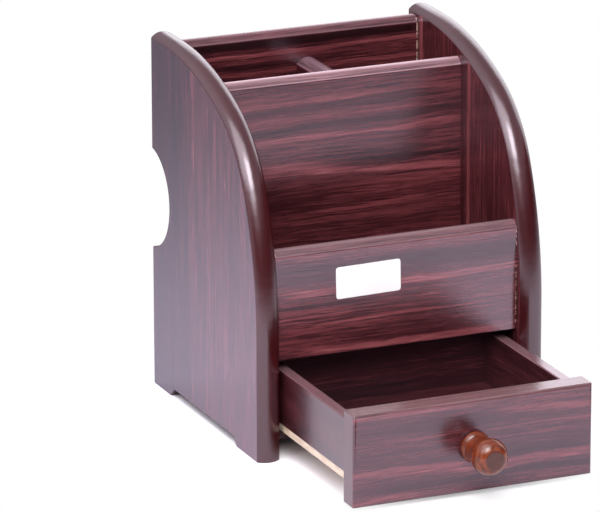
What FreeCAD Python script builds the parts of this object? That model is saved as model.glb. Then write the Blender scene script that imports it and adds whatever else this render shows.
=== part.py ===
import FreeCAD, Part
import math
import os

# Pen stand with a drawer, in laminated board. Millimetres, +Z up, +Y to the back, drawer to -Y.
# The stand is modelled with its drawer pulled out. The origin lies on the table, half way across
# the width and half way between the back edges of the sides and the tip of the knob.
# A "depth" is a distance forward from the back edges of the sides.

Vector = FreeCAD.Vector
x_axis = Vector(1, 0, 0)
y_axis = Vector(0, 1, 0)
z_axis = Vector(0, 0, 1)

near = 1e-6

# --- Boards
stand_width = 154.0
side_thickness = 12.0
partition_thickness = 9.0

# --- Side panels: straight at the back, then three arcs that run into one another down the front.
side_depth = 134.9
side_height = 182.6
top_radius = 166.0
top_turn = 25.7
shoulder_radius = 66.5
shoulder_turn = 40.3
front_radius = 174.0
nose_crown = 2.8

foot_cut_height = 4.5
back_foot = 22.4
front_foot = 25.8

notch_radius = 26.2
notch_centre_behind = 3.7
notch_height = 99.1

# --- Boards between the sides
back_inset = 2.4
back_crest_drop = 0.9
middle_face_depth = 64.2
middle_crest = 172.4
front_inset = 4.3
front_crest = 105.3
divider_thickness = 12.0
divider_offset = 3.6
divider_crest_drop = 5.6
partition_crown = 3.4
base_lift = 4.2
drawer_opening = 36.2

# --- Drawer
pull_distance = 90.0
front_board_thickness = 12.0
front_board_lift = 2.1
front_board_side_gap = 1.8
front_board_top_gap = 0.7
front_board_round = 1.6
drawer_side_gap = 2.5
drawer_wall = 6.0
drawer_wall_height = 27.5
drawer_wall_round = 0.8
drawer_back_gap = 4.5
bottom_sheet = 3.5
running_clearance = 0.3

# --- Turned knob, as radii and distances out from the front board
collar_radius = 7.9
collar_foot_radius = 7.0
collar_width = 4.0
groove_depth = 0.7
groove_width = 1.2
neck_radius = 7.0
neck_distance = 8.0
head_radius = 9.1
head_distance = 17.4
head_back_round = 6.0
head_front_round = 7.0
end_radius = 4.1

# --- Fasteners
dowel_radius = 2.5
dowel_in_side = 8.0
dowel_in_board = 10.0
dowel_in_partition = 6.0
dowel_margin = 14.0
hole_clearance = 0.05
hole_end_clearance = 0.5
small_dowel_radius = 1.5
small_dowel_half = 8.0
small_dowel_margin = 7.0
screw_radius = 1.75
screw_length = 25.0
screw_head_radius = 3.6
screw_head_height = 2.3
screw_head_chamfer = 0.9
screw_hole_radius = 2.1
pin_radius = 0.7
pin_length = 13.0
pin_margin = 8.0

# --- Places that follow from the sizes above
inner_width = stand_width - 2 * side_thickness
half_width = inner_width / 2
back_crest = side_height - back_crest_drop
divider_crest = middle_crest - divider_crest_drop
base_top = base_lift + partition_thickness
floor_bottom = base_top + drawer_opening
floor_top = floor_bottom + partition_thickness
back_face_depth = back_inset + partition_thickness
front_face_depth = side_depth - front_inset
front_back_depth = front_face_depth - partition_thickness
middle_back_depth = middle_face_depth - partition_thickness
base_front_depth = front_face_depth - front_board_thickness - running_clearance

drawer_face_depth = front_face_depth + pull_distance
drawer_box_front = drawer_face_depth - front_board_thickness
drawer_box_back = back_face_depth + drawer_back_gap + pull_distance
sheet_bottom = base_top + running_clearance
wall_bottom = sheet_bottom + bottom_sheet
wall_top = wall_bottom + drawer_wall_height
wall_outer = half_width - drawer_side_gap
wall_inner = wall_outer - drawer_wall
front_board_top = floor_bottom - front_board_top_gap
knob_height = (front_board_lift + front_board_top) / 2

head_front_turn = math.acos(1 - (head_radius - end_radius) / head_front_round)
knob_length = head_distance + head_front_round * math.sin(head_front_turn)
back_y = (drawer_face_depth + knob_length) / 2


def point(x, depth, z):
    return Vector(x, back_y - depth, z)


def block(x0, x1, depth0, depth1, z0, z1):
    return Part.makeBox(x1 - x0, depth1 - depth0, z1 - z0, point(x0, depth1, z0))


def rod(radius, start, direction, length):
    return Part.makeCylinder(radius, length, start, direction)


# --- Side panels

def outline_arcs():
    """The three arcs of the side's front edge as (radius, start turn, end turn), top to foot."""
    first = math.radians(top_turn)
    second = first + math.radians(shoulder_turn)
    return [
        (top_radius, 0.0, first),
        (shoulder_radius, first, second),
        (front_radius, second, math.pi / 2),
    ]


def outline_edges(x):
    """Edges of the side's top and front edge at one x, from the back corner down to the foot."""
    run = sum(r * (math.sin(b) - math.sin(a)) for r, a, b in outline_arcs())
    depth, z = side_depth - run, side_height
    edges = [Part.LineSegment(point(x, 0, z), point(x, depth, z)).toShape()]
    for radius, start, end in outline_arcs():
        centre_depth = depth - radius * math.sin(start)
        centre_z = z - radius * math.cos(start)
        ends = []
        for turn in (start, (start + end) / 2, end):
            forward, up = radius * math.sin(turn), radius * math.cos(turn)
            ends.append(point(x, centre_depth + forward, centre_z + up))
        edges.append(Part.Arc(*ends).toShape())
        depth = centre_depth + radius * math.sin(end)
        z = centre_z + radius * math.cos(end)
    edges.append(Part.LineSegment(point(x, depth, z), point(x, depth, 0)).toShape())
    return edges


def crown_section(x0, x1):
    """The shallow rounded nose across the board's thickness, at the back end of its top edge."""
    left, right = point(x0, 0, side_height), point(x1, 0, side_height)
    crest = point((x0 + x1) / 2, 0, side_height + nose_crown)
    return Part.Wire([Part.Arc(left, crest, right).toShape(), Part.LineSegment(right, left).toShape()])


def foot_cut(x0, x1):
    """The long shallow cut between the feet, with ends at 45 degrees."""
    back, front = back_foot, side_depth - front_foot
    corners = [
        (back - foot_cut_height, -foot_cut_height),
        (back + foot_cut_height, foot_cut_height),
        (front - foot_cut_height, foot_cut_height),
        (front + foot_cut_height, -foot_cut_height),
    ]
    points = [point(x0, depth, z) for depth, z in corners]
    return Part.Face(Part.makePolygon(points + points[:1])).extrude(Vector(x1 - x0, 0, 0))


def side_panel(x0, x1):
    edges = outline_edges(x0)
    start, end = point(x0, 0, side_height), point(x0, side_depth, 0)
    heel = point(x0, 0, 0)
    closing = [Part.LineSegment(end, heel).toShape(), Part.LineSegment(heel, start).toShape()]
    panel = Part.Face(Part.Wire(edges + closing)).extrude(Vector(x1 - x0, 0, 0))
    nose = Part.Wire(edges).makePipeShell([crown_section(x0, x1)], True, True)
    notch = rod(notch_radius, point(x0, -notch_centre_behind, notch_height), x_axis, x1 - x0)
    return panel.fuse(nose).removeSplitter().cut(notch).cut(foot_cut(x0, x1))


# --- Boards between the sides

def crowned_face(thickness, bottom, crest):
    """Cross-section of a board that stands upright with a rounded top, in XZ and centred on x = 0."""
    half, edge = thickness / 2, crest - partition_crown
    foot_left, foot_right = Vector(-half, 0, bottom), Vector(half, 0, bottom)
    top_left, top_right = Vector(-half, 0, edge), Vector(half, 0, edge)
    return Part.Face(Part.Wire([
        Part.LineSegment(foot_left, top_left).toShape(),
        Part.Arc(top_left, Vector(0, 0, crest), top_right).toShape(),
        Part.LineSegment(top_right, foot_right).toShape(),
        Part.LineSegment(foot_right, foot_left).toShape(),
    ]))


def cross_partition(face_depth, bottom, crest):
    """A board from side to side, its front face at face_depth."""
    section = crowned_face(partition_thickness, bottom, crest)
    section.rotate(Vector(0, 0, 0), z_axis, 90)
    section.translate(point(-half_width, face_depth - partition_thickness / 2, 0))
    return section.extrude(Vector(inner_width, 0, 0))


def pocket_divider():
    section = crowned_face(divider_thickness, floor_top, divider_crest)
    section.translate(point(divider_offset, middle_back_depth, 0))
    return section.extrude(Vector(0, middle_back_depth - back_face_depth, 0))


# --- Dowels, and the holes that take them

def hole(radius, start, direction, length):
    start = start - direction * hole_end_clearance
    return rod(radius + hole_clearance, start, direction, length + 2 * hole_end_clearance)


def side_dowels(shape_maker, places):
    """Dowels along X at both ends of a board, one at each (depth, z)."""
    length = dowel_in_board + dowel_in_side
    pins = []
    for depth, z in places:
        pins.append(shape_maker(dowel_radius, point(-half_width - dowel_in_side, depth, z), x_axis, length))
        pins.append(shape_maker(dowel_radius, point(half_width - dowel_in_board, depth, z), x_axis, length))
    return pins


def divider_dowels(shape_maker):
    """Dowels along Y, out of the divider's two ends into the panels before and behind it."""
    length = dowel_in_board + dowel_in_partition
    back_start = back_face_depth + dowel_in_board
    front_start = middle_back_depth + dowel_in_partition
    pins = []
    for z in (floor_top + dowel_margin, divider_crest - dowel_margin):
        for start in (back_start, front_start):
            pins.append(shape_maker(dowel_radius, point(divider_offset, start, z), y_axis, length))
    return pins


def dowel_places():
    """Where each board's dowels enter the sides. The back panel's keep clear of the finger notch."""
    half_board = partition_thickness / 2
    back, middle = back_inset + half_board, middle_face_depth - half_board
    front, base = front_face_depth - half_board, base_lift + half_board
    floor = floor_bottom + half_board
    first = back_face_depth + dowel_margin
    from_notch = notch_radius + dowel_margin
    return {
        "back_panel": [(back, notch_height - from_notch), (back, notch_height + from_notch)],
        "middle_panel": [(middle, floor_top + dowel_margin), (middle, middle_crest - dowel_margin)],
        "front_panel": [(front, floor_bottom + dowel_margin), (front, front_crest - dowel_margin)],
        "compartment_floor": [(first, floor), (front_back_depth - dowel_margin, floor)],
        "base_board": [(first, base), (base_front_depth - dowel_margin, base)],
    }


# --- Drawer

def eased_board(x0, x1, depth0, depth1, z0, z1, radius, pick):
    """A board whose picked edges are rounded."""
    body = block(x0, x1, depth0, depth1, z0, z1)
    return body.makeFillet(radius, [edge for edge in body.Edges if pick(edge)])


def on_drawer_face(edge):
    return abs(edge.BoundBox.YMin - (back_y - drawer_face_depth)) < near and edge.BoundBox.YLength < near


def drawer_front():
    half = half_width - front_board_side_gap
    board = eased_board(
        -half, half, drawer_box_front, drawer_face_depth, front_board_lift, front_board_top,
        front_board_round, on_drawer_face,
    )
    hole_start = point(0, drawer_face_depth, knob_height)
    return board.cut(rod(screw_hole_radius, hole_start, y_axis, front_board_thickness))


def along_wall_top(edge):
    return edge.BoundBox.ZMin > wall_top - near and edge.BoundBox.XLength < near


def drawer_wall_board(x0, x1):
    return eased_board(
        x0, x1, drawer_box_back, drawer_box_front, wall_bottom, wall_top, drawer_wall_round, along_wall_top,
    )


def front_dowels(shape_maker):
    """Small dowels from the drawer's side walls into the front board."""
    pins = []
    for side in (-1, 1):
        x = side * (wall_outer - drawer_wall / 2)
        for z in (wall_bottom + small_dowel_margin, wall_top - small_dowel_margin):
            start = point(x, drawer_box_front + small_dowel_half, z)
            pins.append(shape_maker(small_dowel_radius, start, y_axis, 2 * small_dowel_half))
    return pins


def knob():
    """The turned profile swung round its axis: collar, groove, hollow neck, head with a flat end."""
    def at(radius, distance):
        return point(radius, drawer_face_depth + distance, knob_height)

    def line(start, end):
        return Part.LineSegment(at(*start), at(*end)).toShape()

    def arc(start, middle, end):
        return Part.Arc(at(*start), at(*middle), at(*end)).toShape()

    rise, reach = head_radius - neck_radius, head_distance - neck_distance
    turn = 2 * math.atan(rise / reach)
    neck_round = reach / math.sin(turn) - head_back_round
    collar_end = collar_width + groove_width
    neck_turn = math.asin((neck_distance - collar_end) / neck_round)

    def on_neck(angle):
        hollow = neck_round * (1 - math.cos(angle))
        return neck_radius + hollow, neck_distance + neck_round * math.sin(angle)

    def on_head(rounding, angle):
        fall = rounding * (1 - math.cos(angle))
        return head_radius - fall, head_distance + rounding * math.sin(angle)

    foot, rim = (collar_foot_radius, 0), (collar_foot_radius, collar_width)
    groove = (collar_foot_radius - groove_depth, collar_width + groove_width / 2)
    end = (end_radius, knob_length)
    profile = [
        line((0, 0), foot),
        arc(foot, (collar_radius, collar_width / 2), rim),
        line(rim, groove),
        line(groove, on_neck(-neck_turn)),
        arc(on_neck(-neck_turn), on_neck(0), on_neck(turn)),
        arc(on_neck(turn), on_head(head_back_round, -turn / 2), (head_radius, head_distance)),
        arc((head_radius, head_distance), on_head(head_front_round, head_front_turn / 2), end),
        line(end, (0, knob_length)),
        line((0, knob_length), (0, 0)),
    ]
    turned = Part.Face(Part.Wire(profile)).revolve(at(0, 0), y_axis, 360)
    pilot = screw_length - front_board_thickness + hole_end_clearance
    return turned.cut(rod(screw_radius + hole_clearance, at(0, pilot), y_axis, pilot))


def knob_screw():
    """Screw from inside the drawer: its head on the front board, its shank in the knob."""
    seat = point(0, drawer_box_front, knob_height)
    shank = rod(screw_radius, seat - y_axis * screw_length, y_axis, screw_length)
    head = rod(screw_head_radius, seat, y_axis, screw_head_height)
    rim = [edge for edge in head.Edges if edge.Closed and edge.BoundBox.YMin > seat.y + near]
    return shank.fuse(head.makeChamfer(screw_head_chamfer, rim))


# --- Headless pins

def wall_pins(shape_maker, side):
    """Pins through one side wall into the end of the drawer's back."""
    depth = drawer_box_back + drawer_wall / 2
    heads = [point(side * wall_outer, depth, z) for z in (wall_bottom + pin_margin, wall_top - pin_margin)]
    return [shape_maker(pin_radius, head, x_axis * -side, pin_length) for head in heads]


# --- The whole stand

def cabinet():
    places = dowel_places()
    boards = {
        "back_panel": cross_partition(back_face_depth, base_lift, back_crest),
        "middle_panel": cross_partition(middle_face_depth, floor_top, middle_crest),
        "front_panel": cross_partition(front_face_depth, floor_bottom, front_crest),
        "compartment_floor": block(
            -half_width, half_width, back_face_depth, front_back_depth, floor_bottom, floor_top),
        "base_board": block(
            -half_width, half_width, back_face_depth, base_front_depth, base_lift, base_top),
    }
    nodes = {}
    side_holes = []
    for name, board in boards.items():
        holes = side_dowels(hole, places[name])
        side_holes += holes
        nodes[name] = board.cut(holes)
        nodes[name + "_dowels"] = Part.makeCompound(side_dowels(rod, places[name]))
    across = divider_dowels(hole)
    for name in ("back_panel", "middle_panel"):
        nodes[name] = nodes[name].cut(across)
    nodes["pocket_divider"] = pocket_divider().cut(across)
    nodes["pocket_divider_dowels"] = Part.makeCompound(divider_dowels(rod))
    nodes["left_side_panel"] = side_panel(-half_width - side_thickness, -half_width).cut(side_holes)
    nodes["right_side_panel"] = side_panel(half_width, half_width + side_thickness).cut(side_holes)
    return nodes


def drawer():
    small_holes = front_dowels(hole)
    left_holes, right_holes = wall_pins(hole, -1), wall_pins(hole, 1)
    back = block(
        -wall_inner, wall_inner, drawer_box_back, drawer_box_back + drawer_wall, wall_bottom, wall_top)
    return {
        "drawer_front": drawer_front().cut(small_holes),
        "drawer_left_side": drawer_wall_board(-wall_outer, -wall_inner).cut(small_holes + left_holes),
        "drawer_right_side": drawer_wall_board(wall_inner, wall_outer).cut(small_holes + right_holes),
        "drawer_back": back.cut(left_holes + right_holes),
        "drawer_bottom": block(
            -wall_outer, wall_outer, drawer_box_back, drawer_box_front, sheet_bottom, wall_bottom),
        "drawer_front_dowels": Part.makeCompound(front_dowels(rod)),
        "drawer_left_pins": Part.makeCompound(wall_pins(rod, -1)),
        "drawer_right_pins": Part.makeCompound(wall_pins(rod, 1)),
        "drawer_knob": knob(),
        "knob_screw": knob_screw(),
    }


os.makedirs("parts", exist_ok=True)
for name, shape in {**cabinet(), **drawer()}.items():
    solids = shape.Solids
    if len(solids) == 1:
        shape = solids[0]
    shape.exportStep("parts/" + name + ".step")
    print(f"{name}: {len(solids)} solid(s), {shape.Volume / 1000:.2f} cm3, valid {shape.isValid()}")
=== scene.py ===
import math
import bmesh
import bpy
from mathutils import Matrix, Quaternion, Vector


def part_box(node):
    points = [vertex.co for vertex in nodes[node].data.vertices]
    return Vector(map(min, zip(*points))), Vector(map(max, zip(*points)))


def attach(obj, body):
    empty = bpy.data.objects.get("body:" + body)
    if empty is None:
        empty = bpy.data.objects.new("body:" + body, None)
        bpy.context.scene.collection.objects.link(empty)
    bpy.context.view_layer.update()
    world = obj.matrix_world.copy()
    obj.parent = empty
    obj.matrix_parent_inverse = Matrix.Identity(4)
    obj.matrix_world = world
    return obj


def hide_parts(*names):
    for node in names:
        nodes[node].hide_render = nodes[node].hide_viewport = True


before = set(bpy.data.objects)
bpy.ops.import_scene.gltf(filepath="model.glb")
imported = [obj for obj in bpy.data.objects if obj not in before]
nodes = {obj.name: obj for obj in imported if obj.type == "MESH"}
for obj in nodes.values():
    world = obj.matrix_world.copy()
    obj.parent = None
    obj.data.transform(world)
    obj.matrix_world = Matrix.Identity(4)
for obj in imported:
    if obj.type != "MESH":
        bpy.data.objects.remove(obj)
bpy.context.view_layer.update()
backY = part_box("left_side_panel")[1][1]  # the back edges of the sides
print("frame loaded:", len(nodes), "nodes")


class Wire:
    # one output socket that takes part in Python arithmetic
    def __init__(self, finish, socket):
        self.finish = finish
        self.socket = socket

    def math(self, operation, *values):
        return self.finish.node("Math", {"operation": operation}, dict(enumerate(values)))

    def __add__(self, other):
        return self.math("ADD", self, other)

    def __radd__(self, other):
        return self.math("ADD", other, self)

    def __sub__(self, other):
        return self.math("SUBTRACT", self, other)

    def __rsub__(self, other):
        return self.math("SUBTRACT", other, self)

    def __mul__(self, other):
        return self.math("MULTIPLY", self, other)

    def __rmul__(self, other):
        return self.math("MULTIPLY", other, self)

    def __truediv__(self, other):
        return self.math("DIVIDE", self, other)

    def __abs__(self):
        return self.math("ABSOLUTE", self)

    def __pow__(self, other):
        return self.math("POWER", self, other)


class Finish:
    # a material, or the world, whose nodes are made from here
    def __init__(self, name, world=False):
        self.data = (bpy.data.worlds if world else bpy.data.materials).new(name)
        self.data.use_nodes = True
        self.tree = self.data.node_tree
        self.tree.nodes.clear()

    def node(self, kind, settings, inputs, output=0):
        made = self.tree.nodes.new("ShaderNode" + kind)
        for key, value in settings.items():
            setattr(made, key, value)
        for key, value in inputs.items():
            if isinstance(value, Wire):
                self.tree.links.new(value.socket, made.inputs[key])
            else:
                made.inputs[key].default_value = value
        return Wire(self, made.outputs[output]) if made.outputs else made

    def place(self):
        # object coordinates in millimetres, as three wires
        spot = self.node("TexCoord", {}, {}, "Object")
        return [self.node("SeparateXYZ", {}, {0: spot}, axis) * 1000 for axis in "XYZ"]

    def point(self, x, y, z):
        return self.node("CombineXYZ", {}, {"X": x, "Y": y, "Z": z})

    def noise(self, x, y, z, detail=2.0, roughness=0.5):
        where = self.point(x, y, z)
        inputs = {"Vector": where, "Scale": 1.0, "Detail": detail, "Roughness": roughness}
        return self.node("TexNoise", {}, inputs)

    def between(self, value, low, high, start=0.0, end=1.0):
        return self.node("MapRange", {"interpolation_type": "SMOOTHSTEP"},
                         {"Value": value, "From Min": low, "From Max": high, "To Min": start, "To Max": end})

    def blend(self, factor, first, second, mode="MIX"):
        colours = [c if isinstance(c, Wire) else (*c, 1.0) for c in (first, second)]
        return self.node("Mix", {"data_type": "RGBA", "blend_type": mode},
                         {"Factor": factor, 6: colours[0], 7: colours[1]}, 2)

    def ramp(self, value, stops):
        # colours along a value, each stop (position, colour), blended one after another
        colour = stops[0][1]
        for (start, _), (end, shade) in zip(stops, stops[1:]):
            step = self.node("MapRange", {}, {"Value": value, "From Min": start, "From Max": end})
            colour = self.blend(step, colour, shade)
        return colour

    def bump(self, height, depth, normal=None):
        inputs = {"Height": height, "Distance": depth, "Strength": 1.0}
        if normal:
            inputs["Normal"] = normal
        return self.node("Bump", {}, inputs)

    def surface(self, inputs):
        shader = self.node("BsdfPrincipled", {}, inputs)
        self.node("OutputMaterial", {}, {"Surface": shader})
        return self.data


# along the grain's tone, from the dark streaks to the palest
laminateTones = [
    (0.00, (0.013, 0.0032, 0.0042)),
    (0.30, (0.045, 0.0090, 0.0115)),
    (0.50, (0.100, 0.0220, 0.0262)),
    (0.70, (0.185, 0.0440, 0.0510)),
    (1.00, (0.340, 0.1050, 0.1130)),
]


# each mark of the grain: its length and breadth in mm, its shift of the seed, detail and roughness
grain = {
    "wander": (110, 40, 0.3, 1.0, 0.5), "ripple": (20, 7, 5.1, 1.0, 0.5), "broad": (160, 11, 0.0, 1.0, 0.5),
    "streak": (60, 2.0, 2.7, 2.0, 0.6), "fibre": (14, 0.42, 9.2, 2.0, 0.7),
    "pore": (9, 0.55, 3.9, 1.0, 0.5), "darkLine": (38, 1.0, 6.6, 1.0, 0.5),
    "paleLine": (30, 0.9, 8.1, 1.0, 0.5),
}
grainRipple = 1.1  # how far the ripple pushes the streaks, in mm
bandFade = 12  # over this many mm a band comes and goes along the grain
crossLean = 0.9  # the figure leans this much from one face of a board to the other


def laminate(name, look):
    # printed rosewood film: streaks along one axis, and listed bands where the figure is strong
    f = Finish(name)
    x, y, z = f.place()
    if look["along"] == "x":
        u, v = x, z + (y - look["face"]) * crossLean
    elif look["along"] == "y":
        u, v = y, z + (x - look["face"]) * crossLean
    else:
        u, v = z, backY * 1000 - y + (x - look["face"]) * crossLean

    def mark(kind, height):
        length, breadth, shift, detail, roughness = grain[kind]
        return f.noise(u / length, height / breadth, look["seed"] + shift, detail, roughness)

    wander = mark("wander", v) - 0.5
    ripple = mark("ripple", v) - 0.5
    across = v + wander * look["wander"] + ripple * grainRipple
    broad = mark("broad", across) - 0.5
    streak = mark("streak", across) - 0.5
    fibre = mark("fibre", across) - 0.5
    pore = f.between(mark("pore", across), 0.60, 0.70)
    darkLine = f.between(mark("darkLine", across), 0.57, 0.72)
    paleLine = f.between(mark("paleLine", across), 0.58, 0.74)
    tone = look["tone"] + broad * look["broad"] + streak * look["streak"] + fibre * look["fibre"]
    for at, lean, half, lift, start, end in look["bands"]:
        # away is the distance from the band's middle, run is where along the grain it shows
        away = abs(across - (at + u * lean)) if lean else abs(across - at)
        band = f.between(away, half * 0.45, half * 1.1, lift, 0.0)
        run = f.between(u, start - bandFade, start + bandFade)
        run = run * f.between(u, end - bandFade, end + bandFade, 1.0, 0.0)
        tone = tone + band * run
    tone = tone - darkLine * look["darkLines"] + paleLine * look["paleLines"] - pore * look["pores"]
    colour = f.ramp(tone, laminateTones)
    if "rolled" in look:
        # the film is paler where it is rolled over the crown, most at the crease and the crest; this is
        # partly the film whitened by stretching, and partly painted sheen with a painted highlight along the
        # crest
        crease, crest, pale, amount = look["rolled"]
        over = f.between(z, crease - 0.15, crease + 0.45)
        fold = f.between(abs(z - crease - 0.45), 0.1, 0.5, 0.35, 0.0)
        crestHighlight = f.between(z, crest - 1.0, crest, 0.0, 0.55)
        stretchAndSheen = over * (amount + fold + crestHighlight + fibre * 0.5 + streak * 0.6)
        colour = f.blend(stretchAndSheen, colour, pale)
    if "ends" in look:
        # a plain strip is glued over the end faces
        reach, strip = look["ends"]
        cover = f.between(abs(x), reach - 0.10, reach - 0.02) * (0.8 + fibre * 0.6)
        colour = f.blend(cover, colour, strip)
    smudge = f.noise(x * 0.03, y * 0.03, z * 0.03, 3.0) - 0.5
    roughness = look["roughness"] + smudge * 0.08 + fibre * 0.08
    for axis, at, width, run, start, end, amount in look.get("raw", []):
        # the board shows in dashes where the film ends
        places = {"x": x, "y": y, "z": z}
        near = f.between(abs(places[axis] - at), width * 0.5, width, 1.0, 0.0)
        near = near * f.between(places[run], start, start + 1)
        near = near * f.between(places[run], end - 1, end, 1.0, 0.0)
        dashes = f.between(f.noise(x * 0.6, y * 0.6, z * 0.6, 3.0, 0.7), 0.66 - amount, 0.72 - amount)
        colour = f.blend(near * dashes, colour, look["bare"])
        roughness = roughness + near * dashes * 0.25
    normal = f.bump(fibre * 0.7 - darkLine * 0.3, 0.00005)
    normal = f.bump(f.noise(x * 0.25, y * 0.25, z * 0.25, 2.0), 0.00005, normal)
    if "edge" in look:
        # the sheet's cut edges, whose faces stand upright, are bare ply, and its underside is plain
        facing = f.node("NewGeometry", {}, {}, "Normal")
        up = f.node("SeparateXYZ", {}, {0: facing}, "Z")
        plies = f.noise(x * 0.15, y * 0.15, z * 2.2, 3.0, 0.7)
        bare = f.blend(f.between(plies, 0.35, 0.65), look["edge"][0], look["edge"][1])
        film = f.between(up, 0.5, 0.7)
        colour = f.blend(film, bare, colour)
        roughness = roughness + (1 - film) * 0.3
    return f.surface({"Base Color": colour, "Roughness": roughness, "Normal": normal, "IOR": look["ior"],
                      "Specular IOR Level": look["shine"], "Specular Tint": (*look["sheen"], 1.0)})


def edgePaint(name, look):
    # the sprayed red-brown paint of the rounded edges
    f = Finish(name)
    x, y, z = f.place()
    cloud = f.noise(x * 0.02, y * 0.02, z * 0.02, 2.0)
    grainy = f.noise(x * 0.9, y * 0.05, z * 0.05, 2.0)
    colour = f.blend(cloud, look["dark"], look["light"])
    colour = f.blend(f.between(grainy, 0.35, 0.75) * 0.35, colour, look["streak"])
    roughness = look["roughness"] + (cloud - 0.5) * 0.06
    skin = f.bump(f.noise(x * 0.16, y * 0.16, z * 0.16, 2.0), 0.00010)
    skin = f.bump(f.noise(x * 1.6, y * 1.6, z * 1.6, 1.0), 0.000008, skin)
    return f.surface({"Base Color": colour, "Roughness": roughness, "Normal": skin, "IOR": 1.62,
                      "Specular IOR Level": 0.85, "Specular Tint": (*look["sheen"], 1.0)})


def rawWood(name, look):
    # unfinished wood with its growth layers
    f = Finish(name)
    x, y, z = f.place()
    chips = f.noise(x * 0.5, y * 0.5, z * 1.1, 4.0, 0.7)
    layer = f.node("Math", {"operation": "SINE"}, {0: z * look["layers"]})
    colour = f.blend(f.between(chips, 0.35, 0.7), look["dark"], look["light"])
    colour = f.blend(f.between(layer, 0.2, 0.9) * look["strength"], colour, look["layerLine"])
    dust = f.bump(chips, 0.00012)
    return f.surface({"Base Color": colour, "Roughness": 0.72 + (chips - 0.5) * 0.2, "Normal": dust})


panelLook = {"along": "x", "face": 0.0, "seed": 1.0, "wander": 6.0, "tone": 0.42, "broad": 0.50,
             "streak": 0.55, "fibre": 0.62, "darkLines": 0.22, "paleLines": 0.16, "pores": 0.16,
             "bands": [], "roughness": 0.22, "ior": 1.75, "shine": 0.85, "sheen": (0.97, 0.86, 1.0),
             "bare": (0.62, 0.44, 0.36)}

# each band: height, lean, half width, lift of the tone, from and to along the grain
middleLaminate = laminate("middleLaminate", {
    **panelLook, "face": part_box("middle_panel")[0].y * 1000, "seed": 3.1, "tone": 0.40, "shine": 0.62,
    "rolled": (169.0, 172.4, (0.50, 0.31, 0.35), 0.24),
    "bands": [(158.7, 0.01, 1.5, 0.14, -66, 30), (155.2, 0.0, 1.7, -0.16, -66, 60),
              (150.0, 0.0, 2.0, 0.06, -66, 60), (145.2, 0.01, 2.0, -0.18, -66, 66),
              (139.8, 0.01, 1.9, 0.28, -66, 66), (123.5, -0.035, 4.4, 0.26, -66, -8),
              (121.8, -0.06, 2.4, 0.34, -20, 70), (127.0, -0.03, 1.2, -0.3, 8, 70),
              (105.0, 0.0, 11.0, -0.06, -70, -10), (106.0, 0.0, 12.0, 0.08, -5, 70),
              (100.5, 0.05, 1.6, 0.18, -30, 60), (114.0, 0.0, 2.0, -0.22, -70, -30),
              (114.0, 0.0, 2.4, 0.18, 15, 70), (132.0, 0.0, 7.0, 0.17, 45, 75),
              (156.0, 0.0, 5.0, 0.14, 46, 75)]})
frontLaminate = laminate("frontLaminate", {
    **panelLook, "face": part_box("front_panel")[0].y * 1000, "seed": 7.7,
    "rolled": (101.9, 105.3, (0.22, 0.14, 0.15), 0.22),
    "raw": [("x", 64.8, 0.3, "z", 52, 104, 0.15)],
    "bands": [(100.5, 0.0, 3.0, 0.10, -70, 70), (91.5, 0.01, 5.5, -0.24, -70, 70),
              (82.2, 0.02, 1.9, 0.30, -2, 70), (81.0, 0.0, 2.2, 0.30, -60, -34),
              (75.0, 0.0, 0.8, -0.28, -66, -20), (66.0, 0.02, 0.8, 0.22, -40, 50),
              # the broad band at 66 mm, from -70 to 20 along the board, is painted sheen: a lift of the tone
              # low on the board's left half
              (71.0, 0.0, 3.0, 0.20, -70, -25), (66.0, 0.0, 5.0, 0.12, -70, 20),
              (60.0, 0.0, 2.0, -0.06, -60, 30), (55.0, 0.0, 1.6, -0.08, -40, 40),
              (51.5, 0.0, 2.2, 0.34, -50, 56)]})
backLaminate = laminate("backLaminate", {
    **panelLook, "face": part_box("back_panel")[0].y * 1000, "seed": 11.9, "tone": 0.36, "shine": 0.5,
    "rolled": (178.3, 181.7, (0.24, 0.13, 0.15), 0.12),
    "raw": [("x", 64.7, 0.35, "z", 56, 181, 0.22), ("x", -64.7, 0.35, "z", 56, 181, 0.22)],
    "bands": [(175.8, 0.0, 2.4, -0.45, -70, 70), (170.6, 0.01, 1.4, 0.26, -70, 70),
              (165.5, 0.0, 1.8, -0.16, -70, 30), (161.5, 0.0, 1.4, 0.26, -50, 70)]})
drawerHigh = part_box("drawer_front")[1]
drawerLaminate = laminate("drawerLaminate", {
    **panelLook, "face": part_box("drawer_front")[0].y * 1000, "seed": 17.3, "tone": 0.36, "shine": 0.64,
    "streak": 0.5, "fibre": 0.8, "paleLines": 0.04,
    "ends": (drawerHigh.x * 1000, (0.080, 0.034, 0.042)),
    "rolled": (drawerHigh.z * 1000 - 1.7, drawerHigh.z * 1000, (0.17, 0.095, 0.10), 0.15),
    "bands": [(46.5, -0.01, 1.6, 0.22, -70, 0), (42.0, -0.05, 1.9, 0.26, 15, 66),
              (33.0, 0.0, 0.8, 0.16, -30, 60), (15.4, -0.06, 3.0, 0.32, -66, 4),
              (12.6, 0.05, 3.0, 0.30, -4, 66), (22.0, 0.0, 6.0, -0.10, -66, 66),
              (9.2, 0.0, 1.8, -0.2, -50, 66), (5.0, 0.0, 1.8, 0.24, -64, -30)]})
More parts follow.
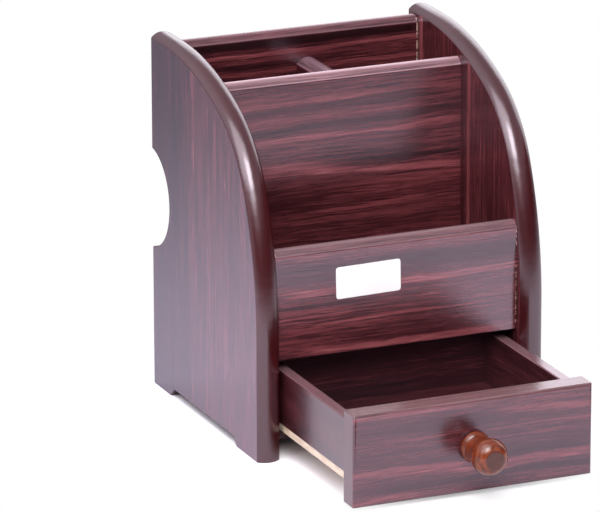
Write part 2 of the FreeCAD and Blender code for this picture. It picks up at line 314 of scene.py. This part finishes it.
# the sides' film runs upright; its bands count from the back edge on the right side's inner face, where the
# pale red strips beside the back and middle boards are painted light and the dark line beside the middle
# board is painted shade
sideBandsPaintedLight = [(15.5, 0.0, 2.4, 0.34, 40, 190), (73.2, 0.0, 2.6, 0.34, 40, 190),
             (66.6, 0.0, 1.6, -0.2, 40, 190)]
sideLook = {**panelLook, "along": "z", "face": 65.0, "seed": 23.0, "broad": 0.35, "wander": 2.0,
            "darkLines": 0.15, "bands": sideBandsPaintedLight}
# the first band of the outer face darkens it towards its back edge: painted shade, for the darker floor it
# mirrors behind the stand
sideLaminate = laminate("sideLaminate", {
    **sideLook, "tone": 0.40, "streak": 0.9, "fibre": 1.0, "paleLines": 0.24, "sheen": (0.80, 0.72, 1.0),
    "shine": 1.0, "bands": [(-128.0, 0.0, 60.0, -0.24, -20, 200)] + sideBandsPaintedLight})
insideLaminate = laminate("insideLaminate", {**sideLook, "tone": 0.39, "shine": 0.34})
wallLaminate = laminate("wallLaminate", {**panelLook, "seed": 29.0, "tone": 0.36})
dividerLaminate = laminate("dividerLaminate", {
    **panelLook, "along": "y", "face": -2.4, "seed": 41.0, "tone": 0.28, "shine": 0.5,
    "rolled": (163.3, 166.8, (0.25, 0.145, 0.18), 0.20)})
thinSheet = laminate("thinSheet", {
    **panelLook, "seed": 37.0, "tone": 0.34, "edge": ((0.50, 0.37, 0.26), (0.80, 0.66, 0.50))})
nosePaint = edgePaint("nosePaint", {"dark": (0.028, 0.0012, 0.0018), "light": (0.052, 0.0024, 0.0032),
                                    "streak": (0.016, 0.0008, 0.0010), "roughness": 0.24,
                                    "sheen": (0.98, 0.90, 1.0)})
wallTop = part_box("drawer_left_side")[1].z * 1000
# the drawer walls' film is darker than the boards': painted shade of the drawer's inside; their pale upper
# edges are painted sheen
drawerWallLaminateShadedSheen = laminate("drawerWallLaminateShadedSheen", {
    **panelLook, "along": "y", "seed": 31.0, "tone": 0.30,
    "rolled": (wallTop - 0.6, wallTop, (0.15, 0.075, 0.085), 0.2)})
# the drawer's back is much darker than the boards: painted shade of the drawer's inside
drawerBackLaminateShaded = laminate("drawerBackLaminateShaded", {**panelLook, "seed": 33.0, "tone": 0.20, "shine": 0.5})


def lacquer(name, look):
    # stained turned wood under clear gloss; the flat end drinks more stain
    f = Finish(name)
    x, y, z = f.place()
    rings = f.noise(x * 0.25, y * 0.9, z * 0.25, 3.0, 0.6)
    pores = f.noise(x * 2.2, y * 0.3, z * 2.2, 2.0)
    colour = f.blend(f.between(rings, 0.3, 0.7), look["dark"], look["light"])
    colour = f.blend(f.between(pores, 0.55, 0.75) * 0.4, colour, look["pore"])
    end = f.between(y, look["endAt"] + 0.15, look["endAt"] + 0.4, 1.0, 0.0)
    colour = f.blend(end * 0.85, colour, look["endGrain"])
    roughness = look["roughness"] + (rings - 0.5) * 0.06 + end * 0.15
    normal = f.bump(pores, 0.00003)
    return f.surface({"Base Color": colour, "Roughness": roughness, "Normal": normal, "IOR": 1.5,
                      "Specular IOR Level": 0.5})


knobLacquer = lacquer("knobLacquer", {
    "dark": (0.085, 0.014, 0.006), "light": (0.180, 0.037, 0.013), "pore": (0.06, 0.011, 0.005),
    "endGrain": (0.055, 0.016, 0.014), "roughness": 0.15, "endAt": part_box("drawer_knob")[0].y * 1000})
beechDowel = rawWood("beechDowel", {"dark": (0.55, 0.38, 0.22), "light": (0.72, 0.54, 0.35),
                                    "layerLine": (0.5, 0.35, 0.2), "layers": 0.4, "strength": 0.1})


def paper(name, look):
    # a bare sticker of coated paper, a little yellowed in patches
    f = Finish(name)
    x, y, z = f.place()
    cloud = f.noise(x * 0.12, y * 0.12, z * 0.12, 3.0)
    fibres = f.noise(x * 3.0, y * 3.0, z * 3.0, 2.0)
    colour = f.blend(cloud, look["pale"], look["aged"])
    colour = f.blend(f.between(fibres, 0.6, 0.8) * 0.15, colour, look["fibre"])
    return f.surface({"Base Color": colour, "Roughness": 0.38 + (fibres - 0.5) * 0.1,
                      "Normal": f.bump(fibres, 0.000006)})


labelPaper = paper("labelPaper", {
    "pale": (0.86, 0.86, 0.87), "aged": (0.80, 0.77, 0.76), "fibre": (0.70, 0.66, 0.66)})


def steel(name):
    # bright steel with faint drawn marks
    f = Finish(name)
    x, y, z = f.place()
    brushed = f.noise(x * 2.5, y * 0.3, z * 2.5, 3.0)
    colour = f.blend(brushed, (0.52, 0.52, 0.53), (0.68, 0.68, 0.69))
    return f.surface({"Base Color": colour, "Metallic": 1.0, "Roughness": 0.28 + brushed * 0.15,
                      "Normal": f.bump(brushed, 0.00002)})


brightSteel = steel("brightSteel")
print("finishes ready")


def piece(name, builder, body, material, replaced=(), bevel=None, smoothAngle=28):
    # turns a bmesh into an object that rides on its body
    mesh = bpy.data.meshes.new(name)
    bmesh.ops.recalc_face_normals(builder, faces=builder.faces)
    builder.to_mesh(mesh)
    builder.free()
    made = bpy.data.objects.new(name, mesh)
    bpy.context.scene.collection.objects.link(made)
    for finish in material if isinstance(material, (list, tuple)) else [material]:
        mesh.materials.append(finish)
    mesh.polygons.foreach_set("use_smooth", [True] * len(mesh.polygons))
    mesh.set_sharp_from_angle(angle=math.radians(smoothAngle))
    if bevel:
        soften = made.modifiers.new("softened edges", "BEVEL")
        soften.width = bevel
        soften.segments = 3
        soften.angle_limit = math.radians(smoothAngle)
    # the large flat faces stay flat in the light, and only the rounded edges shade over
    flat = made.modifiers.new("flat faces stay flat", "WEIGHTED_NORMAL")
    flat.keep_sharp = True
    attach(made, body)
    if replaced:
        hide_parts(*replaced)
    return made


def crownHeights(width, rise, steps):
    # a shallow arc across a board: pairs of (across, up)
    radius = (width ** 2 / 4 + rise ** 2) / (2 * rise)
    half = math.asin(width / 2 / radius)
    turns = [half * (2 * i / steps - 1) for i in range(steps + 1)]
    return [(radius * math.sin(t), radius * math.cos(t) - radius + rise) for t in turns]


side = {"thickness": 0.012, "depth": 0.1349, "height": 0.1826, "crown": 0.0028, "crownSteps": 16,
        "arcs": [(0.166, 25.7), (0.0665, 40.3), (0.174, 24.0)], "stepTurn": 1.6,
        "footCut": 0.0045, "backFoot": 0.0224, "frontFoot": 0.0258,
        "notchRadius": 0.0262, "notchBehind": 0.0037, "notchHeight": 0.0991, "notchSteps": 40,
        "ease": 0.00035}


def noseArcs():
    # the three arcs as (radius, start turn, end turn) in degrees from upright
    turn = 0.0
    arcs = []
    for radius, sweep in side["arcs"]:
        arcs.append((radius, turn, turn + sweep))
        turn += sweep
    return arcs


def noseLine():
    # the top and front edge as (depth, z, turn from upright), from the back corner to the foot
    run = sum(r * (math.sin(math.radians(b)) - math.sin(math.radians(a))) for r, a, b in noseArcs())
    depth, z = side["depth"] - run, side["height"]
    line = [(0.0, z, 0.0)]
    for radius, start, end in noseArcs():
        centreDepth = depth - radius * math.sin(math.radians(start))
        centreZ = z - radius * math.cos(math.radians(start))
        steps = max(4, round((end - start) / side["stepTurn"]))
        for i in range(0 if start == 0 else 1, steps + 1):
            turn = math.radians(start + (end - start) * i / steps)
            line.append((centreDepth + radius * math.sin(turn), centreZ + radius * math.cos(turn), turn))
        depth, z = line[-1][:2]
    line.append((side["depth"], 0.0, math.pi / 2))
    return line


def sidePanel(name, outer, inner, materials, replaced):
    # outer and inner are the x of its two faces
    b = bmesh.new()
    low, high = min(outer, inner), max(outer, inner)
    middle = (low + high) / 2
    line = noseLine()
    crown = crownHeights(side["thickness"], side["crown"], side["crownSteps"])
    rows = []
    for depth, z, turn in line:
        forward, rise = math.sin(turn), math.cos(turn)
        rows.append([b.verts.new((middle + across, backY - depth - up * forward, z + up * rise))
                     for across, up in crown])
    for before, after in zip(rows, rows[1:]):
        for j in range(len(crown) - 1):
            b.faces.new((before[j], before[j + 1], after[j + 1], after[j])).material_index = 1
    back, front, rise = side["backFoot"], side["depth"] - side["frontFoot"], side["footCut"]
    reach = math.sqrt(side["notchRadius"] ** 2 - side["notchBehind"] ** 2)
    start = math.atan2(reach, side["notchBehind"])
    under = [(front, 0), (front - rise, rise), (back + rise, rise), (back, 0), (0, 0)]
    bite = []
    for i in range(side["notchSteps"] + 1):
        turn = -start + 2 * start * i / side["notchSteps"]
        bite.append((side["notchRadius"] * math.cos(turn) - side["notchBehind"],
                     side["notchHeight"] + side["notchRadius"] * math.sin(turn)))
    rest = under + bite
    lowSide = [b.verts.new((low, backY - depth, z)) for depth, z in rest]
    highSide = [b.verts.new((high, backY - depth, z)) for depth, z in rest]
    lowFace = b.faces.new([row[0] for row in rows] + lowSide)
    highFace = b.faces.new([row[-1] for row in rows] + highSide)
    (highFace if outer < inner else lowFace).material_index = 2
    b.faces.new(rows[-1] + [highSide[0], lowSide[0]]).material_index = 1
    b.faces.new([lowSide[-1], highSide[-1]] + rows[0][::-1]).material_index = 1
    for i in range(len(rest) - 1):
        b.faces.new((lowSide[i], highSide[i], highSide[i + 1], lowSide[i + 1])).material_index = 1
    return piece(name, b, "cabinet", materials, replaced, side["ease"])


board = {"crown": 0.0034, "crownSteps": 14, "inside": 0.065, "ease": 0.00025}


def crownedBoard(name, node, axis, material):
    # an upright board with a rounded top, in its node's place; axis is the way it runs
    b = bmesh.new()
    low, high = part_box(node)
    ends, sides = ((low.x, high.x), (low.y, high.y)) if axis == "x" else ((low.y, high.y), (low.x, high.x))
    middle, thickness = (sides[0] + sides[1]) / 2, sides[1] - sides[0]
    crown = crownHeights(thickness, board["crown"], board["crownSteps"])
    section = [(-thickness / 2, low.z)] + [(across, high.z - board["crown"] + up) for across, up in crown]
    section.append((thickness / 2, low.z))
    rings = []
    for end in ends:
        spots = [(end, middle + across, z) for across, z in section]
        if axis == "y":
            spots = [(y, x, z) for x, y, z in spots]
        rings.append([b.verts.new(spot) for spot in spots])
    count = len(section)
    for j in range(count):
        after = (j + 1) % count
        b.faces.new((rings[0][j], rings[1][j], rings[1][after], rings[0][after]))
    b.faces.new(rings[0])
    b.faces.new(rings[1][::-1])
    return piece(name, b, "cabinet", material, [node], board["ease"], 15)


sideFinishes = [sideLaminate, nosePaint, insideLaminate]
outside = board["inside"] + side["thickness"]
sidePanel("leftSide", -outside, -board["inside"], sideFinishes, ["left_side_panel"])
sidePanel("rightSide", outside, board["inside"], sideFinishes, ["right_side_panel"])
crownedBoard("backBoard", "back_panel", "x", backLaminate)
crownedBoard("middleBoard", "middle_panel", "x", middleLaminate)
crownedBoard("frontBoard", "front_panel", "x", frontLaminate)
crownedBoard("pocketDivider", "pocket_divider", "y", dividerLaminate)
print("sides and boards built")


drawerFront = {"round": 0.0016, "ease": 0.0004, "roundSteps": 5}


def roundedFront():
    # the drawer's board, whose four front edges, at low y, are rounded over
    b = bmesh.new()
    low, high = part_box("drawer_front")
    rings = []
    for i in range(drawerFront["roundSteps"] + 1):
        turn = math.pi / 2 * i / drawerFront["roundSteps"]
        inset = drawerFront["round"] * (1 - math.sin(turn))
        y = low.y + drawerFront["round"] * (1 - math.cos(turn))
        corners = [(low.x + inset, low.z + inset), (high.x - inset, low.z + inset),
                   (high.x - inset, high.z - inset), (low.x + inset, high.z - inset)]
        rings.append([b.verts.new((x, y, z)) for x, z in corners])
    rings.append([b.verts.new((x, high.y, z)) for x, z in
                  ((low.x, low.z), (high.x, low.z), (high.x, high.z), (low.x, high.z))])
    for before, after in zip(rings, rings[1:]):
        for j in range(4):
            b.faces.new((before[j], before[(j + 1) % 4], after[(j + 1) % 4], after[j]))
    b.faces.new(rings[0])
    b.faces.new(rings[-1])
    return piece("drawerFront", b, "drawer", drawerLaminate, ["drawer_front"],
                 drawerFront["ease"], 40)


roundedFront()
print("drawer front built")


knob = {"collar": 0.0079, "collarFoot": 0.0070, "collarWidth": 0.0040, "groove": 0.0007,
        "grooveWidth": 0.0012, "neck": 0.0070, "neckAt": 0.0080, "head": 0.0091, "headAt": 0.0174,
        "backRound": 0.0060, "frontRound": 0.0070, "end": 0.0041, "ease": 0.0002, "steps": 96}


def arcPoints(centre, radius, start, end, steps):
    # points on an arc in (out, along); turns run from straight out towards along
    return [(centre[0] + radius * math.cos(t), centre[1] + radius * math.sin(t))
            for t in (start + (end - start) * i / steps for i in range(steps + 1))]


def knobProfile():
    k = knob
    collarSag = k["collar"] - k["collarFoot"]
    collarRound = ((k["collarWidth"] / 2) ** 2 + collarSag ** 2) / (2 * collarSag)
    collarHalf = math.asin(k["collarWidth"] / 2 / collarRound)
    centre = (k["collar"] - collarRound, k["collarWidth"] / 2)
    line = arcPoints(centre, collarRound, -collarHalf, collarHalf, 12)
    line.append((k["collarFoot"] - k["groove"], k["collarWidth"] + k["grooveWidth"] / 2))
    turn = 2 * math.atan((k["head"] - k["neck"]) / (k["headAt"] - k["neckAt"]))
    neckRound = (k["headAt"] - k["neckAt"]) / math.sin(turn) - k["backRound"]
    neckTurn = math.asin((k["neckAt"] - k["collarWidth"] - k["grooveWidth"]) / neckRound)
    line += arcPoints((k["neck"] + neckRound, k["neckAt"]), neckRound, math.pi + neckTurn, math.pi - turn, 16)
    line += arcPoints((k["head"] - k["backRound"], k["headAt"]), k["backRound"], -turn, 0, 8)[1:]
    frontTurn = math.acos(1 - (k["head"] - k["end"]) / k["frontRound"])
    line += arcPoints((k["head"] - k["frontRound"], k["headAt"]), k["frontRound"], 0, frontTurn, 14)[1:]
    return line


def turnedKnob():
    # the profile swung round an axis along y, out from the middle of the drawer's board
    b = bmesh.new()
    low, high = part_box("drawer_knob")
    foot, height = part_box("drawer_front")[0].y, (low.z + high.z) / 2
    turns = [2 * math.pi * i / knob["steps"] for i in range(knob["steps"])]
    rings = []
    for radius, along in knobProfile():
        rings.append([b.verts.new((radius * math.cos(t), foot - along, height + radius * math.sin(t)))
                      for t in turns])
    for before, after in zip(rings, rings[1:]):
        for i in range(len(turns)):
            j = (i + 1) % len(turns)
            b.faces.new((before[i], before[j], after[j], after[i]))
    b.faces.new(rings[0])
    b.faces.new(rings[-1])
    return piece("knob", b, "drawer", knobLacquer, ["drawer_knob"], knob["ease"], 40)


turnedKnob()

screw = {"radius": 0.00175, "headHeight": 0.0023, "headFlat": 0.0027, "headRound": 0.0009, "roundSteps": 5,
         "pitch": 0.0016, "ringsPerPitch": 6, "threadDepth": 0.00032, "threadFrom": 0.0135, "point": 0.0022,
         "arm": 0.0016, "armHalf": 0.0004, "crossDepth": 0.0012, "steps": 32}


def knobScrew():
    # its pan head with a cross is on the drawer's side of the board, and its thread is in the knob
    b = bmesh.new()
    low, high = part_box("knob_screw")
    x, z = (low.x + high.x) / 2, (low.z + high.z) / 2
    seat = high.y - screw["headHeight"]
    threadStart = seat - screw["threadFrom"]
    turns = [2 * math.pi * i / screw["steps"] for i in range(screw["steps"])]

    def shankRadius(turn, y):
        # the ridge climbs one pitch in a turn; it fades in below the plain shank and tapers to the point
        climb = (y / screw["pitch"] + turn / (2 * math.pi)) % 1
        fade = min(1.0, max(0.0, (threadStart - y) / screw["pitch"]))
        taper = min(1.0, 0.35 + (y - low.y) / screw["point"])
        return (screw["radius"] - screw["threadDepth"] * abs(2 * climb - 1) * fade) * taper

    arm, half = screw["arm"], screw["armHalf"]
    cross = [(arm, -half), (arm, half), (half, half), (half, arm), (-half, arm), (-half, half),
             (-arm, half), (-arm, -half), (-half, -half), (-half, -arm), (half, -arm), (half, -half)]
    mouth = [b.verts.new((x + i, high.y, z + k)) for i, k in cross]
    pit = [b.verts.new((x + i * 0.6, high.y - screw["crossDepth"], z + k * 0.6)) for i, k in cross]
    for i in range(len(cross)):
        after = (i + 1) % len(cross)
        b.faces.new((mouth[i], mouth[after], pit[after], pit[i]))
    b.faces.new(pit)
    heights = []
    for i in range(screw["roundSteps"] + 1):
        turn = math.pi / 2 * i / screw["roundSteps"]
        out = screw["headFlat"] + screw["headRound"] * math.sin(turn)
        heights.append((out, high.y - screw["headRound"] * (1 - math.cos(turn))))
    heights.append((heights[-1][0], seat))
    rings = []
    for out, y in heights:
        rings.append([b.verts.new((x + out * math.cos(t), y, z + out * math.sin(t))) for t in turns])
    count = round((threadStart - low.y) / screw["pitch"] * screw["ringsPerPitch"])
    shank = [seat] + [threadStart + (low.y - threadStart) * i / count for i in range(count + 1)]
    for y in shank:
        outs = [shankRadius(t, y) for t in turns]
        rings.append([b.verts.new((x + out * math.cos(t), y, z + out * math.sin(t)))
                      for out, t in zip(outs, turns)])
    for before, after in zip(rings, rings[1:]):
        for i in range(len(turns)):
            j = (i + 1) % len(turns)
            b.faces.new((before[i], before[j], after[j], after[i]))
    b.faces.new(rings[-1])
    rim = [b.edges.get((rings[0][i], rings[0][(i + 1) % len(turns)])) for i in range(len(turns))]
    rim += [b.edges.get((mouth[i], mouth[(i + 1) % len(cross)])) for i in range(len(cross))]
    bmesh.ops.bridge_loops(b, edges=rim)
    return piece("knobScrew", b, "drawer", brightSteel, ["knob_screw"], None, 35)


knobScrew()
print("knob and its screw built")


label = {"width": 0.0346, "height": 0.0163, "thick": 0.00012, "round": 0.0015, "x": -0.0155, "z": 0.0855,
         "lean": 1.0, "roundSteps": 6, "ease": 0.00004}


def bareLabel():
    # thin paper with rounded corners on the front panel, a little askew
    b = bmesh.new()
    corners = []
    lean = math.radians(label["lean"])
    for quarter, (sx, sz) in enumerate(((1, 1), (-1, 1), (-1, -1), (1, -1))):
        for i in range(label["roundSteps"] + 1):
            turn = math.pi / 2 * (quarter + i / label["roundSteps"])
            across = sx * (label["width"] / 2 - label["round"]) + label["round"] * math.cos(turn)
            up = sz * (label["height"] / 2 - label["round"]) + label["round"] * math.sin(turn)
            corners.append((label["x"] + across * math.cos(lean) - up * math.sin(lean),
                            label["z"] + across * math.sin(lean) + up * math.cos(lean)))
    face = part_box("front_panel")[0].y
    outer = [b.verts.new((x, face - label["thick"], z)) for x, z in corners]
    inner = [b.verts.new((x, face, z)) for x, z in corners]
    b.faces.new(outer)
    b.faces.new(inner[::-1])
    for i in range(len(corners)):
        after = (i + 1) % len(corners)
        b.faces.new((outer[i], outer[after], inner[after], inner[i]))
    return piece("bareLabel", b, "cabinet", labelPaper, (), label["ease"], 40)


bareLabel()
print("label laid on")


# CAD pieces that keep their shape get a finish on their own object
dressing = {
    "compartment_floor": wallLaminate, "base_board": wallLaminate,
    "drawer_left_side": drawerWallLaminateShadedSheen, "drawer_right_side": drawerWallLaminateShadedSheen,
    "drawer_back": drawerBackLaminateShaded, "drawer_bottom": thinSheet,
}
for name, part in nodes.items():
    finish = dressing.get(name)
    if name.endswith("_dowels"):
        finish = beechDowel
    if name.endswith("_pins"):
        finish = brightSteel
    if finish:
        for held in part.material_slots:
            held.link = "OBJECT"
            held.material = finish
print("kept pieces dressed")


# distances in mm, only floorHalf in metres; as a glossy face mirrors it, the floor carries painted shade: it
# is darker behind the stand, in front of it, and far off in front and on the right
room = {"floorHalf": 6.0, "pale": (0.90, 0.885, 0.935), "centre": 40, "widen": 1.8, "nearEdge": 108,
        "farEdge": 165, "lift": 1.15, "mirror": 0.87, "mirrorBack": 0.47, "backReach": (100, 680),
        "mirrorFront": 0.38, "frontReach": (-460, -260), "mirrorFar": 0.4, "farFront": (-1100, -600),
        "farRight": (450, 900)}


def layFloor():
    # pale ground that keeps the shadow near the stand and turns plain white away from it
    f = Finish("paleFloor")
    x, y, _ = f.place()
    away = (x * x * room["widen"] + (y - room["centre"]) ** 2) ** 0.5
    camera = f.node("LightPath", {}, {}, "Is Camera Ray")
    glossy = f.node("LightPath", {}, {}, "Is Glossy Ray")
    clear = f.node("LightPath", {}, {}, "Is Transmission Ray")
    mirror = room["mirror"] - f.between(y, *room["backReach"], 0.0, room["mirrorBack"])
    mirror = mirror - f.between(y, *room["frontReach"], room["mirrorFront"], 0.0)
    mirror = mirror * f.between(y, *room["farFront"], room["mirrorFar"], 1.0)
    mirror = mirror * f.between(x, *room["farRight"], 1.0, room["mirrorFar"])
    seen = (camera + clear) * (room["lift"] - 1) + glossy * (mirror - 1) + 1
    colour = f.blend(1.0, room["pale"], f.point(seen, seen, seen), "MULTIPLY")
    bare = f.node("BsdfPrincipled", {}, {"Base Color": colour, "Roughness": 1.0, "Specular IOR Level": 0.0})
    glow = f.node("Emission", {}, {"Color": (1.0, 1.0, 1.0, 1.0), "Strength": 1.0})
    mask = f.between(away, room["nearEdge"], room["farEdge"]) * (camera + clear)
    mixed = f.node("MixShader", {}, {0: mask, 1: bare, 2: glow})
    f.node("OutputMaterial", {}, {"Surface": mixed})
    b = bmesh.new()
    h = room["floorHalf"]
    b.faces.new([b.verts.new(spot) for spot in ((-h, -h, 0), (h, -h, 0), (h, h, 0), (-h, h, 0))])
    mesh = bpy.data.meshes.new("floor")
    b.to_mesh(mesh)
    b.free()
    mesh.materials.append(f.data)
    floor = bpy.data.objects.new("floor", mesh)
    bpy.context.scene.collection.objects.link(floor)


sky = {"overLeft": (1.25, 1.22, 1.30), "overRight": (0.52, 0.51, 0.54), "walls": (0.66, 0.64, 0.70),
       "darkWall": (0.05, 0.04, 0.045), "darkTurn": 22}


def skyLight():
    # pale walls with a dark gap low in front, and a ceiling that is brighter on the left
    f = Finish("studioWorld", world=True)
    spot = f.node("TexCoord", {}, {}, "Generated")
    x, y, up = [f.node("SeparateXYZ", {}, {0: spot}, axis) for axis in "XYZ"]
    turn = math.radians(sky["darkTurn"])
    facing = x * math.sin(turn) - y * math.cos(turn)
    low = f.between(up, 0.26, 0.46, 1.0, 0.0)
    around = f.blend(f.between(facing, 0.1, 0.35) * low, sky["walls"], sky["darkWall"])
    above = f.blend(f.between(x, -0.6, 0.4), sky["overLeft"], sky["overRight"])
    colour = f.blend(f.between(up, 0.30, 0.70), around, above)
    glow = f.node("Background", {}, {"Color": colour, "Strength": 1.0})
    f.node("OutputWorld", {}, {"Surface": glow})
    bpy.context.scene.world = f.data


# where each soft box hangs, as compass turn from the front, height angle and distance
lamps = {
    "keyBox": {"turn": -19, "rise": 45, "away": 1.1, "width": 0.50, "height": 0.52, "watts": 7.0,
               "tint": (1.0, 0.99, 0.98)},
    "wideBox": {"turn": -45, "rise": 54, "away": 1.15, "width": 1.10, "height": 1.20, "watts": 11.5,
                "tint": (1.0, 0.99, 0.99)},
    "backBox": {"turn": 130, "rise": 20, "away": 1.4, "width": 1.8, "height": 0.9, "watts": 9.5,
                "tint": (0.97, 0.96, 1.0)},
}
lampAim = 0.08


def hangLamps():
    # each soft box faces a point in the middle of the stand
    for name, lamp in lamps.items():
        light = bpy.data.lights.new(name, "AREA")
        light.shape = "RECTANGLE"
        light.size = lamp["width"]
        light.size_y = lamp["height"]
        light.energy = lamp["watts"]
        light.color = lamp["tint"]
        made = bpy.data.objects.new(name, light)
        turn, rise = math.radians(lamp["turn"]), math.radians(lamp["rise"])
        out = Vector((math.sin(turn) * math.cos(rise), -math.cos(turn) * math.cos(rise), math.sin(rise)))
        made.location = Vector((0, 0, lampAim)) + out * lamp["away"]
        made.rotation_mode = "QUATERNION"
        made.rotation_quaternion = (-out).to_track_quat("-Z", "Y")
        bpy.context.scene.collection.objects.link(made)


view = {"from": (-1.05037, -2.32351, 0.88284), "towards": (0.37823, 0.87714, -0.29591), "roll": -0.1,
        "lens": 325.25}


def placeCamera():
    cameraData = bpy.data.cameras.new("camera")
    cameraData.sensor_width = 36.0
    cameraData.lens = view["lens"]
    cameraData.clip_start = 0.1
    cameraData.clip_end = 50.0
    made = bpy.data.objects.new("camera", cameraData)
    made.location = view["from"]
    made.rotation_mode = "QUATERNION"
    facing = Vector(view["towards"]).to_track_quat("-Z", "Y")
    made.rotation_quaternion = facing @ Quaternion((0, 0, 1), math.radians(view["roll"]))
    bpy.context.scene.collection.objects.link(made)
    bpy.context.scene.camera = made


layFloor()
skyLight()
hangLamps()
placeCamera()
bpy.context.scene.view_settings.view_transform = "Standard"
print("floor, light and camera set")
